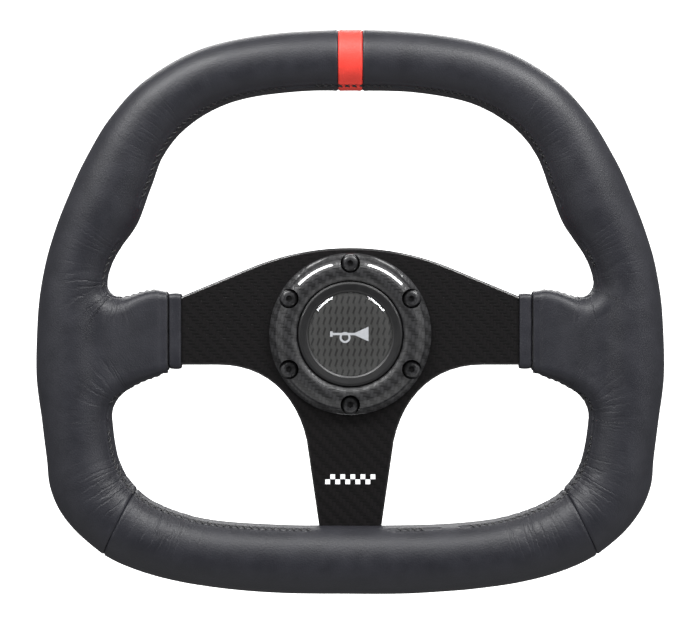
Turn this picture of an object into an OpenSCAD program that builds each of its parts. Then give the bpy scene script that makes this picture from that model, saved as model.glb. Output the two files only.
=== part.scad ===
// Quick release steering wheel: a flat-bottomed three-spoke sports wheel with a horn button,
// bolted to a ball-lock quick release that slides off its column spigot.
// Millimetres. Row frame: +X to the driver's right, +Z up, +Y towards the steering column.
// The origin is the centre of the face that bolts to the column. Most modules are written in
// "stack" coordinates, [x, up, u], where u is the distance from that face towards the driver.

/* [Rim] */
// Overall width of the rim
rim_w = 312; // [296:1:330]
// Distance of the rim's middle plane from the column face
rim_u = 50; // [48:0.5:52]
// Share of the rim's in-plane width that its depth follows
rim_depth_share = 0.56; // [0.5:0.02:0.62]
// Thickness of the leather
leather_t = 1.2; // [1:0.1:1.4]
// Width of the red leather strip at top centre
mark_w = 12; // [8:1:20]
// Radius of the steel ring inside the foam
armature_r = 5.5; // [4.5:0.5:6]

/* [Spokes] */
// Thickness of the aluminium spoke plate
core_t = 3; // [2.5:0.5:3]
// Thickness of the carbon skin on the driver's side
front_skin_t = 1.8; // [1.2:0.2:2]
// Thickness of the carbon skin on the column side
back_skin_t = 1.2; // [1:0.2:1.4]
// Distance from the hub's centre to the edge of the leather on the side spokes
boot_x = 84; // [80:1:90]

/* [Bolt pattern] */
// Bolt circle shared by the horn ring and the column flange
pcd = 70; // [68:1:74]
// Number of bolts on the circle
bolt_n = 6; // [6:6]
// Nominal radius of the screws
screw_r = 2.5; // [2.5:2.5]
// Radius of the clearance holes in the column flange
clear_r = 2.75; // [2.7:0.05:2.8]
// Radius of the clearance holes in the spokes and the horn ring
plate_clear_r = 2.55; // [2.52:0.01:2.58]

/* [Horn button] */
// Radius of the moving button
button_r = 25.9; // [25:0.1:26]
// Travel of the button
button_travel = 2.2; // [1.5:0.1:2.4]
// Radius of the clear dome
dome_r = 20.8; // [19:0.1:21]
// Height of the dome above its seat
dome_h = 3.2; // [2:0.2:4]

/* [Quick release] */
// Radius of both flanges
flange_r = 41; // [40.5:0.5:43]
// Radius of the column spigot
spigot_r = 24; // [24:24]
// Number of locking balls
ball_n = 8; // [6:1:10]
// Radius of each locking ball
ball_r = 3; // [3:3]
// How far the balls reach into the spigot's groove
ball_bite = 1.4; // [1.2:0.1:1.4]
// Travel of the release collar
collar_travel = 6; // [6:6]

/* [Hidden] */
$fn = 96;

// Levels along the stack, from the column face towards the driver.
flange_t = 7;                                   // column flange
sleeve_u = flange_t + 1;                        // rear end of the release body's sleeve
ball_u = 25;                                    // plane of the locking balls
tip_u = 34;                                     // spigot's tip
body_flange_u = 38;                             // release body's flange, rear face
plate_u = 45;                                   // release body's flange, front face
core_u = plate_u + back_skin_t;
front_skin_u = core_u + core_t;
ring_u = front_skin_u + front_skin_t;           // horn ring's seat
floor_u = 44.5;                                 // horn housing, rear face of its floor
floor_t = 1.5;
pocket_r = 27;                                  // hole through the plates for the housing
cap_u = ring_u + 2;                             // button cap, underside of its top
dome_u = cap_u + 3.6;                           // seat of the dome

// Running and assembly gaps.
run_gap = 0.05;
glue_gap = 0.1;
foam_gap = 0.25;
fit_gap = 0.02;

// Locking balls and what they bear on.
ball_centre_r = spigot_r - ball_bite + ball_r;
land_r = ball_centre_r + ball_r + fit_gap;      // collar's land behind the balls
sleeve_r = land_r - 0.1;
relief_r = land_r + ball_bite + 0.3;            // collar's relief, where the balls drop clear
collar_u0 = 11;
collar_u1 = body_flange_u - collar_travel - 0.2;
chamber_u = ball_u + 1.5;                       // rear end of the collar's spring chamber
chamber_r = 33;
clip_u = collar_u0 - 1.25;
clip_t = 1.2;

// Drive keys: the one at the top is wider, so the wheel goes on only one way round.
key_len = 8;
key_out = 27;
key_in = 21.5;
key_angles = [90, 210, 330];
key_widths = [8, 6, 6];

// Electrical contacts across the quick release.
disc_r = 18;
disc_u = 27;
disc_t = 4;
carrier_r = 19;
track_radii = [5.5, 11];
track_w = 2.6;

// Moves stack coordinates [x, up, u] into the row frame.
module to_row() {
    rotate([90, 0, 0]) children();
}

// Repeats something on the bolt circle, with the first one at the top.
module on_bolt_circle() {
    for (i = [0 : bolt_n - 1])
        rotate([0, 0, 90 + i * 360 / bolt_n]) translate([pcd / 2, 0, 0]) children();
}

// A cylinder along u between two levels.
module drum(r, u0, u1) {
    translate([0, 0, u0]) cylinder(r = r, h = u1 - u0);
}

// A pipe along u between two levels.
module pipe(r_out, r_in, u0, u1) {
    translate([0, 0, u0]) difference() {
        cylinder(r = r_out, h = u1 - u0);
        translate([0, 0, -1]) cylinder(r = r_in, h = u1 - u0 + 2);
    }
}

// ---- Curves -------------------------------------------------------------------------------

// Point on a cubic Bezier curve.
function bezier(a, b, c, d, t) =
    a * pow(1 - t, 3) + 3 * b * pow(1 - t, 2) * t + 3 * c * (1 - t) * t * t + d * pow(t, 3);

// Point on a closed Catmull-Rom spline through the list p, between items i and i + 1.
function spline(p, i, t) =
    let (n = len(p), a = p[(i + n - 1) % n], b = p[i % n], c = p[(i + 1) % n], d = p[(i + 2) % n])
    0.5 * (2 * b + (c - a) * t + (2 * a - 5 * b + 4 * c - d) * t * t
        + (3 * b - a - 3 * c + d) * t * t * t);

// ---- Rim sections -------------------------------------------------------------------------

// Right half of the rim's outline, from top centre to bottom centre. Each item is a point on
// the outer edge and the point on the inner edge across from it: [x, z, x, z].
rim_pairs_at_312 = [
    [0, 151.3, 0, 121.2],
    [38, 149.4, 32, 120.2],
    [74, 142, 60, 115],
    [101, 127, 80.5, 103.5],
    [119, 108, 92.6, 89.4],
    [131.5, 87.5, 99.3, 72.5],
    [140.5, 68, 106, 55],
    [147.5, 49.5, 116.3, 39.5],
    [152, 33, 120.8, 27],
    [155.3, 10, 121.5, 9],
    [156, -20, 120.5, -18],
    [153.2, -44, 118.6, -42],
    [151, -62, 117, -55],
    [149.4, -76, 114, -65.5],
    [143.5, -89.5, 107.5, -75.8],
    [132, -102.3, 98.5, -83],
    [114, -114.4, 84, -89],
    [84, -123.6, 66, -93],
    [44, -128.4, 34, -95.1],
    [0, -129.4, 0, -95.4]
];
rim_scale = rim_w / 312;
half_n = len(rim_pairs_at_312);

// The whole outline, clockwise from top centre, as seen by the driver.
rim_pairs = rim_scale * concat(
    rim_pairs_at_312,
    [for (i = [half_n - 2 : -1 : 1])
        let (p = rim_pairs_at_312[i]) [-p[0], p[1], -p[2], p[3]]]
);
rim_n = len(rim_pairs);

// Outline pair at station s, where whole numbers are the items of rim_pairs.
function rim_at(s) = let (w = (s % rim_n + rim_n) % rim_n, i = floor(w)) spline(rim_pairs, i, w - i);

// Section of the rim at station s: an ellipse between the two edges, shrunk by inset, in
// stack coordinates. The angle starts at the inner edge and grows over the driver's side.
function rim_point(s, angle, inset) =
    let (
        p = rim_at(s),
        outer = [p[0], p[1]],
        inner = [p[2], p[3]],
        mid = (outer + inner) / 2,
        half_w = norm(outer - inner) / 2,
        dir = (outer - inner) / (2 * half_w),
        half_d = 6 + rim_depth_share * half_w,
        flat = mid - dir * (half_w - inset) * cos(angle)
    )
    [flat[0], flat[1], rim_u + (half_d - inset) * sin(angle)];

// Steel ring's section at station s.
function armature_point(s, angle, r) =
    let (
        p = rim_at(s),
        outer = [p[0], p[1]],
        inner = [p[2], p[3]],
        mid = (outer + inner) / 2,
        dir = (outer - inner) / norm(outer - inner),
        flat = mid - dir * r * cos(angle)
    )
    [flat[0], flat[1], rim_u + r * sin(angle)];

// Side faces of a grid of rings, each of k points. closed joins the last ring to the first.
function ring_sides(rings, k, closed) = concat(
    [for (i = [0 : rings - (closed ? 1 : 2)], j = [0 : k - 1])
        let (a = i * k, b = ((i + 1) % rings) * k, n = (j + 1) % k)
        [a + j, a + n, b + n]],
    [for (i = [0 : rings - (closed ? 1 : 2)], j = [0 : k - 1])
        let (a = i * k, b = ((i + 1) % rings) * k, n = (j + 1) % k)
        [a + j, b + n, b + j]]
);

// The same with flat ends, for rings whose section is convex.
function ring_faces(rings, k, closed) = concat(
    ring_sides(rings, k, closed),
    closed ? [] : [[for (j = [k - 1 : -1 : 0]) j]],
    closed ? [] : [[for (j = [0 : k - 1]) (rings - 1) * k + j]]
);

// End face of a C-shaped section whose k points run out along one side and back along the
// other, as a strip of triangles. start is the number of its first point.
function c_cap(start, k, first) = [for (j = [0 : k / 2 - 2], half = [0, 1])
    let (a = start + j, b = a + 1, d = start + k - 1 - j, c = d - 1,
         f = half == 0 ? [a, b, c] : [a, c, d])
    first ? [f[2], f[1], f[0]] : f];

rim_sides = 16;
rim_steps = 3;   // rings in each span of the outline

// Solid rim shape, a closed loop.
module rim_solid(inset) {
    rings = rim_n * rim_steps;
    points = [for (i = [0 : rings - 1], j = [0 : rim_sides - 1])
        rim_point(i / rim_steps, j * 360 / rim_sides, inset)];
    polyhedron(points, ring_faces(rings, rim_sides, true), convexity = 10);
}

// Sheet of leather wrapped round the foam from station s0 to s1. Its edges meet at the
// inner side of the rim, lip degrees to each side of the seam.
lip = 2.8;
module leather_wrap(s0, s1) {
    rings = max(2, ceil((s1 - s0) * rim_steps) + 1);
    inner_inset = leather_t;
    k = 2 * (rim_sides + 1);
    arc = [for (j = [0 : rim_sides]) lip + j * (360 - 2 * lip) / rim_sides];
    points = [for (i = [0 : rings - 1])
        let (s = s0 + (s1 - s0) * i / (rings - 1))
        for (p = concat(
            [for (a = arc) rim_point(s, a, 0)],
            [for (j = [rim_sides : -1 : 0]) rim_point(s, arc[j], inner_inset)]
        )) p];
    polyhedron(points, concat(ring_sides(rings, k, false), c_cap(0, k, true), c_cap((rings - 1) * k, k, false)),
               convexity = 10);
}

// ---- Spoke outline ------------------------------------------------------------------------

arch_top = 42.8;      // height of the hub's top edge
arch_r = 130;         // radius of that edge
arch_x = 50;          // where it turns into the straight edge of the side spoke
spoke_low = -15.4;    // lower edge of the side spokes
stem_x = 21.7;        // half width of the lower spoke at stem_z
stem_z = -53;
stem_slope = 0.145;   // how fast the lower spoke narrows

arch_z = arch_top - arch_r + sqrt(arch_r * arch_r - arch_x * arch_x);
arch_slope = arch_x / sqrt(arch_r * arch_r - arch_x * arch_x);

function arch_edge(x) =
    x < arch_x ? arch_top - arch_r + sqrt(arch_r * arch_r - x * x)
               : arch_z - (x - arch_x) * arch_slope;
function stem_edge(z) = stem_x + (z - stem_z) * stem_slope;

// Right half of the spoke plate's outline. reach is how far the side spokes go, depth how
// far down the lower spoke goes, tongue the half width of the side spokes inside the rim.
function half_outline(reach, depth, tongue_top, tongue_low) = concat(
    [for (i = [0 : 10]) [arch_x * i / 10, arch_edge(arch_x * i / 10)]],
    [[boot_x + 4, arch_edge(boot_x + 4)]],
    [[boot_x + 6, tongue_top], [reach, tongue_top], [reach, tongue_low], [boot_x + 6, tongue_low]],
    [[boot_x + 4, spoke_low]],
    [for (i = [0 : 12]) bezier([66, spoke_low], [43, spoke_low + 0.2], [26.8, -29.5],
                               [stem_x, stem_z], i / 12)],
    [[stem_edge(depth), depth]]
);

module spoke_shape(reach, depth, tongue_top, tongue_low) {
    half = half_outline(reach, depth, tongue_top, tongue_low);
    n = len(half);
    polygon(concat(half, [for (i = [n - 1 : -1 : 1]) [-half[i][0], half[i][1]]]));
}

skin_reach = 119;
skin_depth = -96.7;
core_reach = 131;
core_depth = -104.5;
rivet_x = 126;
rivet_z = -100.8;
rivet_r = 2;
rivet_gap = 6;        // half the distance between the two rivets of a spoke
fork_t = 1.5;
fork_half = 11;

// Places of the six rivets: two in each spoke's tongue.
module at_rivets() {
    for (side = [-1, 1], k = [-1, 1]) translate([side * rivet_x, k * rivet_gap, 0]) children();
    for (k = [-1, 1]) translate([k * rivet_gap, rivet_z, 0]) children();
}

// Room for the spokes, forks and rivets inside the rim.
module spoke_room() {
    gap = glue_gap;
    u0 = plate_u - gap;
    t = ring_u - plate_u + 2 * gap;
    for (side = [-1, 1]) {
        translate([side * (boot_x + 26) - 26, spoke_low - 0.6, u0]) cube([52, 35.4, t]);
        translate([side * 128 - 10.3, -fork_half - gap, core_u - fork_t - 1.6])
            cube([20.6, 2 * fork_half + 2 * gap, core_t + 2 * fork_t + 3.2]);
    }
    translate([-stem_edge(-94), -107, u0]) cube([2 * stem_edge(-94), 13, t]);
    translate([-fork_half - gap, -111.5, core_u - fork_t - 1.6])
        cube([2 * fork_half + 2 * gap, 14.6, core_t + 2 * fork_t + 3.2]);
}

// ---- Column side --------------------------------------------------------------------------

// Turned aluminium spigot with its flange: bolts to the column boss.
module hub_spigot() {
    color("dimgray") to_row() difference() {
        rotate_extrude() difference() {
            polygon([
                [15, 0], [flange_r - 0.8, 0], [flange_r, 0.8], [flange_r, flange_t - 0.8],
                [flange_r - 0.8, flange_t], [spigot_r, flange_t], [spigot_r, tip_u - 1.5],
                [spigot_r - 1.5, tip_u], [disc_r, tip_u], [disc_r, disc_u], [15, disc_u]
            ]);
            translate([ball_centre_r, ball_u]) circle(r = ball_r + fit_gap, $fn = 48);
        }
        on_bolt_circle() {
            translate([0, 0, -1]) cylinder(r = clear_r, h = flange_t + 2, $fn = 48);
            translate([0, 0, flange_t - 2.4]) cylinder(r1 = clear_r, r2 = clear_r + 2.4, h = 2.4, $fn = 48);
        }
        for (i = [0 : 2]) key_block(i, fit_gap, 0);
    }
}

// One drive key's block, grown sideways by gap and lengthened by extra.
module key_block(i, gap, extra) {
    w = key_widths[i] + 2 * gap;
    rotate([0, 0, key_angles[i]])
        translate([key_in - gap, -w / 2, flange_t])
            cube([key_out - key_in + 2 * gap, w, key_len + gap + extra]);
}

// Three hardened keys let into the root of the spigot: they carry the steering torque.
module drive_keys() {
    color("lightsteelblue") to_row() for (i = [0 : 2]) key_block(i, 0, 0);
}

// Moulded disc in the spigot's mouth that holds the two contact tracks.
module contact_disc() {
    color("black") to_row() difference() {
        drum(disc_r - fit_gap, disc_u, disc_u + disc_t);
        for (r = track_radii)
            pipe(r + track_w / 2, r - track_w / 2, disc_u + disc_t - 0.8, disc_u + disc_t + 1);
        drum(2, disc_u - 1, disc_u + disc_t + 1);
    }
}

// Two brass tracks that carry the horn circuit.
module contact_rings() {
    color("gold") to_row() for (r = track_radii)
        pipe(r + track_w / 2 - fit_gap, r - track_w / 2 + fit_gap,
             disc_u + disc_t - 0.8 + fit_gap, disc_u + disc_t);
}

// ---- Quick release, wheel side ------------------------------------------------------------

// Sleeve and flange that stay on the wheel. Radial holes in the sleeve hold the balls.
module release_body() {
    bore = spigot_r + run_gap;
    color("silver") to_row() difference() {
        rotate_extrude() polygon([
            [bore + 0.8, sleeve_u], [sleeve_r - 0.5, sleeve_u], [sleeve_r, sleeve_u + 0.5],
            [sleeve_r, clip_u], [sleeve_r - 1.2, clip_u], [sleeve_r - 1.2, clip_u + clip_t],
            [sleeve_r, clip_u + clip_t], [sleeve_r, body_flange_u],
            [flange_r - 0.8, body_flange_u], [flange_r, body_flange_u + 0.8],
            [flange_r, plate_u - 0.5], [flange_r - 0.5, plate_u], [pocket_r, plate_u],
            [pocket_r, floor_u - 0.5], [carrier_r, floor_u - 0.5], [carrier_r, tip_u + 0.5],
            [bore, tip_u + 0.5], [bore, sleeve_u + 0.8]
        ]);
        for (i = [0 : ball_n - 1]) rotate([0, 0, (i + 0.5) * 360 / ball_n])
            translate([0, 0, ball_u]) rotate([0, 90, 0]) {
                translate([0, 0, spigot_r - 2]) cylinder(r = 2.78, h = 4, $fn = 48);
                translate([0, 0, spigot_r + 0.35]) cylinder(r = ball_r + fit_gap, h = 6, $fn = 48);
            }
        for (i = [0 : 2]) key_block(i, run_gap, 0.3);
        on_bolt_circle() translate([0, 0, body_flange_u - 1]) cylinder(r = screw_r, h = 10, $fn = 48);
    }
}

// Eight hardened balls, drawn in the spigot's groove: the locked place.
module lock_balls() {
    color("lightgray") to_row() for (i = [0 : ball_n - 1]) rotate([0, 0, (i + 0.5) * 360 / ball_n])
        translate([ball_centre_r, 0, ball_u]) sphere(r = ball_r, $fn = 40);
}

// Split ring at the sleeve's rear end: the stop that the collar rests on.
module collar_circlip() {
    gap_angle = 24;
    color("gray") to_row() difference() {
        pipe(sleeve_r + 1.8, sleeve_r - 1.2 + fit_gap, clip_u + fit_gap, clip_u + clip_t - fit_gap);
        translate([0, 0, clip_u - 1]) rotate([0, 0, -90 - gap_angle / 2])
            linear_extrude(4) polygon([[0, 0], [50, 0], [50 * cos(gap_angle), 50 * sin(gap_angle)]]);
    }
}

// Helical wire from level u0 to u1 round an axis at the origin, with flat closed ends.
module coil(mean_r, wire_r, u0, u1, turns, sides, per_turn) {
    rings = round(turns * per_turn) + 1;
    low = u0 + wire_r;
    high = u1 - wire_r;
    points = [for (i = [0 : rings - 1])
        let (t = i / (rings - 1), a = t * turns * 360,
             ease = t - sin(360 * t) / 360 * 40, u = low + (high - low) * ease)
        for (j = [0 : sides - 1])
            let (b = j * 360 / sides, r = mean_r + wire_r * cos(b))
            [r * cos(a), r * sin(a), u + wire_r * sin(b)]];
    polyhedron(points, ring_faces(rings, sides, false), convexity = 10);
}

// Spring that pushes the collar back over the balls.
module collar_spring() {
    color("silver") to_row()
        coil(sleeve_r + 2.2, 0.8, chamber_u + 0.05, body_flange_u - 0.05, 3.5, 6, 24);
}

// Collar that the driver pulls: its land keeps the balls in, its relief lets them out.
module release_collar() {
    grip_n = 30;
    lip_r = 40;
    waist_r = 36;
    relief_u0 = ball_u - collar_travel - 2.9;
    relief_u1 = ball_u - collar_travel + 2.8;
    color("darkred") to_row() difference() {
        rotate_extrude() polygon([
            [land_r, collar_u0], [lip_r - 1, collar_u0], [lip_r, collar_u0 + 1],
            [lip_r, collar_u0 + 4.5], [lip_r - 1.5, collar_u0 + 6], [waist_r, collar_u0 + 8],
            [waist_r, collar_u1 - 1], [waist_r - 1, collar_u1], [chamber_r, collar_u1],
            [chamber_r, chamber_u], [land_r, chamber_u], [land_r, ball_u - 1.2],
            [relief_r, relief_u1], [relief_r, relief_u0], [land_r, relief_u0 - 1.5]
        ]);
        for (i = [0 : grip_n - 1]) rotate([0, 0, i * 360 / grip_n])
            translate([lip_r + 1.1, 0, collar_u0 - 1]) cylinder(r = 2.2, h = 9, $fn = 24);
    }
}

// Moulded carrier in the release body for the two sprung contact pins.
module pin_carrier() {
    color("black") to_row() difference() {
        union() {
            drum(carrier_r - fit_gap, tip_u + 0.55, tip_u + 3);
            drum(16, disc_u + disc_t + 1, tip_u + 1);
        }
        for (i = [0, 1]) rotate([0, 0, 180 * i]) translate([track_radii[i], 0, 0])
            drum(1.3, 0, plate_u);
    }
}

// Two brass pins that ride on the tracks while the wheel is on.
module contact_pins() {
    color("gold") to_row() for (i = [0, 1]) rotate([0, 0, 180 * i]) translate([track_radii[i], 0, 0]) {
        drum(1.2, disc_u + disc_t + 0.05, tip_u + 3.05);
        drum(1.9, tip_u + 3.05, tip_u + 3.6);
    }
}

// ---- Spokes -------------------------------------------------------------------------------

// Cuts the six screw holes and the button's hole through a plate of the spoke stack.
module plate_holes() {
    on_bolt_circle() translate([0, 0, plate_u - 5]) cylinder(r = plate_clear_r, h = 20, $fn = 48);
    translate([0, 0, plate_u - 5]) cylinder(r = pocket_r, h = 20);
}

// Aluminium plate that carries the load from the hub to the rim's steel ring.
module spoke_core() {
    color("darkgray") to_row() difference() {
        translate([0, 0, core_u + fit_gap]) linear_extrude(core_t - 2 * fit_gap)
            intersection() {
                spoke_shape(core_reach, core_depth, fork_half - 0.5, -fork_half + 0.5);
                union() {
                    square([2 * (boot_x + 6), 300], center = true);
                    square([2 * core_reach + 1, 2 * fork_half], center = true);
                }
            }
        plate_holes();
        at_rivets() translate([0, 0, core_u - 5]) cylinder(r = rivet_r + fit_gap, h = 12, $fn = 32);
        for (side = [-1, 1]) translate([side * 21, core_depth, core_u - 1])
            translate([-10, -1, 0]) cube([20, -97.8 - core_depth + 1, core_t + 2]);
    }
}

// Carbon skin on the driver's side.
module spoke_skin_front() {
    color("#202022") to_row() difference() {
        translate([0, 0, front_skin_u]) linear_extrude(front_skin_t)
            spoke_shape(skin_reach, skin_depth, 17, -15);
        plate_holes();
    }
}

// Carbon skin on the column side.
module spoke_skin_back() {
    color("#202022") to_row() difference() {
        translate([0, 0, plate_u]) linear_extrude(back_skin_t)
            spoke_shape(skin_reach, skin_depth, 17, -15);
        plate_holes();
    }
}

// Chequered strip printed on the lower spoke.
module spoke_decal() {
    square_w = 2.5;
    gap = 0.06;
    columns = 10;
    color("white") to_row() translate([-columns / 2 * square_w, -74.8, ring_u + 0.01])
        for (i = [0 : columns - 1])
            translate([i * square_w + gap, (i % 2) * square_w + gap, 0])
                cube([square_w - 2 * gap, square_w - 2 * gap, 0.08]);
}

// ---- Rim ----------------------------------------------------------------------------------

// Steel ring in the rim, with three welded forks that grip the spoke plate's tongues.
module rim_armature() {
    sides = 12;
    rings = rim_n * rim_steps;
    points = [for (i = [0 : rings - 1], j = [0 : sides - 1])
        armature_point(i / rim_steps, j * 360 / sides, armature_r)];
    color("slategray") to_row() difference() {
        union() {
            polyhedron(points, ring_faces(rings, sides, true), convexity = 10);
            for (u = [core_u - fork_t, core_u + core_t]) {
                for (side = [-1, 1]) translate([side * 129.5 - 7.5, -fork_half, u])
                    cube([15, 2 * fork_half, fork_t]);
                translate([-fork_half, -111, u]) cube([2 * fork_half, 14, fork_t]);
            }
        }
        at_rivets() translate([0, 0, core_u - 5]) cylinder(r = rivet_r + fit_gap, h = 12, $fn = 32);
        translate([-core_reach - 0.1, -fork_half - 1, core_u])
            cube([2 * core_reach + 0.2, 2 * fork_half + 2, core_t]);
        translate([-fork_half - 1, core_depth - 0.1, core_u]) cube([2 * fork_half + 2, 20, core_t]);
    }
}

// Six rivets through the forks and the tongues.
module tongue_rivets() {
    head_r = 3.4;
    color("silver") to_row() at_rivets() {
        drum(rivet_r, core_u - fork_t - 0.1, core_u + core_t + fork_t + 0.1);
        drum(head_r, core_u - fork_t - 1.3, core_u - fork_t - fit_gap);
        drum(head_r, core_u + core_t + fork_t + fit_gap, core_u + core_t + fork_t + 1.3);
    }
}

// Foam moulded round the steel ring and the roots of the side spokes.
module rim_foam() {
    sides = 12;
    rings = rim_n * rim_steps;
    hole = [for (i = [0 : rings - 1], j = [0 : sides - 1])
        armature_point(i / rim_steps, j * 360 / sides, armature_r + glue_gap)];
    color("#3a3a3a") to_row() difference() {
        union() {
            rim_solid(leather_t + foam_gap);
            for (side = [-1, 1]) boot_shape(side, leather_t + foam_gap);
        }
        polyhedron(hole, ring_faces(rings, sides, true), convexity = 10);
        spoke_room();
    }
}

// Sections of the padded sleeve over a side spoke, from its open end into the rim:
// [distance from the hub's centre, upper edge, lower edge, thickness, corner radius].
boot_sections = [
    [boot_x + 6.2, 20.3, -18.5, 9.6, 3],
    [boot_x + 12.5, 21.8, -20.8, 11, 4],
    [boot_x + 20, 20.7, -23.5, 13.4, 5],
    [boot_x + 27, 18.6, -27.5, 17, 6.8],
    [boot_x + 33, 18.2, -32, 20.4, 9],
    [boot_x + 38, 19, -36, 23, 10.5]
];

// One of those sections as a thin slab. side is 1 for the right spoke and -1 for the left.
module boot_slab(side, i, inset) {
    b = boot_sections[i];
    share = i / (len(boot_sections) - 1);
    u = (plate_u + ring_u) / 2 * (1 - share) + rim_u * share;
    translate([side * (b[0] + 0.1), (b[1] + b[2]) / 2, u]) rotate([0, 90, 0])
        linear_extrude(0.2, center = true)
            rounded_slot(b[3] - 2 * inset, b[1] - b[2] - 2 * inset, b[4] - inset, 5 * i);
}

// The sleeve's shape without its hollow, shrunk by inset.
module boot_shape(side, inset) {
    for (i = [0 : len(boot_sections) - 2]) hull() {
        boot_slab(side, i, inset);
        boot_slab(side, i + 1, inset);
    }
}

// Rounded rectangle: t across the spoke's thickness, h along its height, corner radius r.
// turn shifts the corners' points along their arcs.
module rounded_slot(t, h, r, turn = 0) {
    hull() for (a = [-1, 1], b = [-1, 1])
        translate([a * (t / 2 - r), b * (h / 2 - r)]) rotate(turn) circle(r = r, $fn = 20);
}

// Side panel of leather with the sleeve over its spoke.
bottom_seam_s = 14.75;                      // station of the lower corner seams
mark_s = mark_w / 2 / 38 * 312 / rim_w;     // stations from top centre to the strip's edge
module side_leather(side) {
    difference() {
        union() {
            if (side > 0) leather_wrap(mark_s + 0.01, bottom_seam_s - 0.01);
            else leather_wrap(rim_n - bottom_seam_s + 0.01, rim_n - mark_s - 0.01);
            difference() {
                boot_shape(side, 0);
                rim_solid(leather_t * 0.6);
            }
        }
        boot_shape(side, leather_t);
        spoke_room();
    }
}

module leather_left() {
    color("#1c1c1f") to_row() side_leather(-1);
}

module leather_right() {
    color("#1c1c1f") to_row() side_leather(1);
}

// Leather panel along the flat bottom, between the two corner seams.
module leather_bottom() {
    color("#1c1c1f") to_row() difference() {
        leather_wrap(bottom_seam_s + 0.01, rim_n - bottom_seam_s - 0.01);
        spoke_room();
    }
}

// Red leather strip that marks straight ahead.
module centre_mark() {
    color("#f04a40") to_row() leather_wrap(rim_n - mark_s + 0.01, rim_n + mark_s - 0.01);
}

// Waxed thread that laces the leather's edges along the inner side of the rim.
thread_r = 0.35;
module seam_thread() {
    sides = 6;
    function run(s0, s1) = [for (i = [0 : ceil((s1 - s0) * rim_steps)])
        s0 + (s1 - s0) * i / ceil((s1 - s0) * rim_steps)];
    color("#0c0c0d") to_row() for (side = [-1, 1], span = [[0.35, 7.5], [11.1, half_n - 1.5]]) {
        stations = side > 0 ? run(span[0], span[1]) : run(rim_n - span[1], rim_n - span[0]);
        points = [for (s = stations)
            let (p = rim_at(s), inner = [p[2], p[3]], outer = [p[0], p[1]],
                 dir = (outer - inner) / norm(outer - inner), c = inner - dir * (thread_r + fit_gap))
            for (j = [0 : sides - 1])
                let (b = j * 360 / sides, flat = c - dir * thread_r * cos(b))
                [flat[0], flat[1], rim_u + thread_r * sin(b)]];
        polyhedron(points, ring_faces(len(stations), sides, false), convexity = 10);
    }
}

// Folded leather band that closes the sleeve's end on a side spoke.
module boot_band(side) {
    t = ring_u - plate_u + 2 * glue_gap;
    color("#26262a") to_row() difference() {
        translate([side * (boot_x + 3), 1.5, (plate_u + ring_u) / 2]) rotate([0, 90, 0])
            linear_extrude(5.8, center = true) rounded_slot(t + 2.4, 37.4, 2);
        translate([side * (boot_x + 26) - 27, spoke_low - 0.6, plate_u - glue_gap])
            cube([54, 35, t]);
    }
}

module boot_band_left() {
    boot_band(-1);
}

module boot_band_right() {
    boot_band(1);
}

// ---- Horn ring and button -----------------------------------------------------------------

ring_r = 40.2;
mouth_r = 26.4;
seat_h = 2.6;          // height of the screw seats above the ring's base
head_r = 4.6;
head_h = 2.7;

// Carbon ring that clamps the spokes and the horn housing to the quick release.
module horn_ring() {
    crest = [for (i = [0 : 8]) bezier([ring_r - 0.6, 2.2], [37.6, 6.4], [34.5, 8.4], [31, 8.2], i / 8)];
    inner = [for (i = [1 : 6]) bezier([31, 8.2], [29, 8.1], [27.4, 7.6], [mouth_r, 6.2], i / 6)];
    color("#2a2a2c") to_row() difference() {
        translate([0, 0, ring_u]) rotate_extrude() polygon(concat(
            [[29.2, 0], [ring_r, 0], [ring_r, 1.6]], crest, inner,
            [[mouth_r, 1.45], [29.2, 1.45]]
        ));
        on_bolt_circle() {
            translate([0, 0, ring_u - 1]) cylinder(r = plate_clear_r, h = 12, $fn = 48);
            translate([0, 0, ring_u + seat_h]) cylinder(r = head_r + 0.25, h = 12, $fn = 48);
        }
    }
}

// Six button-head screws with hexagon sockets.
module ring_bolts() {
    shank_end = plate_u - 6;
    socket_r = 1.75;
    color("#0e0e0f") to_row() on_bolt_circle() difference() {
        union() {
            translate([0, 0, shank_end]) cylinder(r = screw_r - fit_gap, h = ring_u + seat_h - shank_end + 0.1, $fn = 48);
            translate([0, 0, ring_u + seat_h + fit_gap]) rotate_extrude() polygon(concat(
                [[0, 0], [head_r, 0], [head_r, 0.5]],
                [for (i = [1 : 5]) bezier([head_r, 0.5], [head_r - 0.3, 1.6], [3.6, head_h], [2.6, head_h], i / 5)],
                [[0, head_h]]
            ));
        }
        translate([0, 0, ring_u + seat_h + head_h - 1.7]) cylinder(r = socket_r, h = 3, $fn = 6);
    }
}

spring_angles = [30, 150, 270];
post_angles = [90, 210, 330];

// Moulded cup that holds the horn button, clamped under the ring. An inner lip near its
// mouth keeps the button's hooks in.
wall_top = cap_u - button_travel - 0.1;
lip_h = 1.2;
module horn_housing() {
    wall_r = pocket_r - 0.2;
    color("black") to_row() difference() {
        union() {
            drum(wall_r, floor_u, floor_u + floor_t);
            pipe(wall_r, 24.5, floor_u, wall_top);
            pipe(24.6, 23.9, wall_top - lip_h, wall_top);
            pipe(wall_r, button_r + 0.2, wall_top - 0.5, ring_u + 0.5);
            pipe(29, button_r + 0.2, ring_u + 0.02, ring_u + 1.4);
        }
        for (x = [-8, 8]) translate([x - 3.3, -0.5, floor_u - 1]) cube([6.6, 1, 4]);
    }
}

// Brass ring on the housing's floor, with three posts that the moving contact meets.
post_top = cap_u - 0.8 - button_travel - run_gap;
module horn_fixed_contact() {
    color("gold") to_row() {
        pipe(17.5, 12.6, floor_u + floor_t, floor_u + floor_t + 0.6);
        for (a = post_angles) rotate([0, 0, a]) translate([15, 0, 0])
            drum(1.5, floor_u + floor_t + 0.5, post_top);
    }
}

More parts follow.
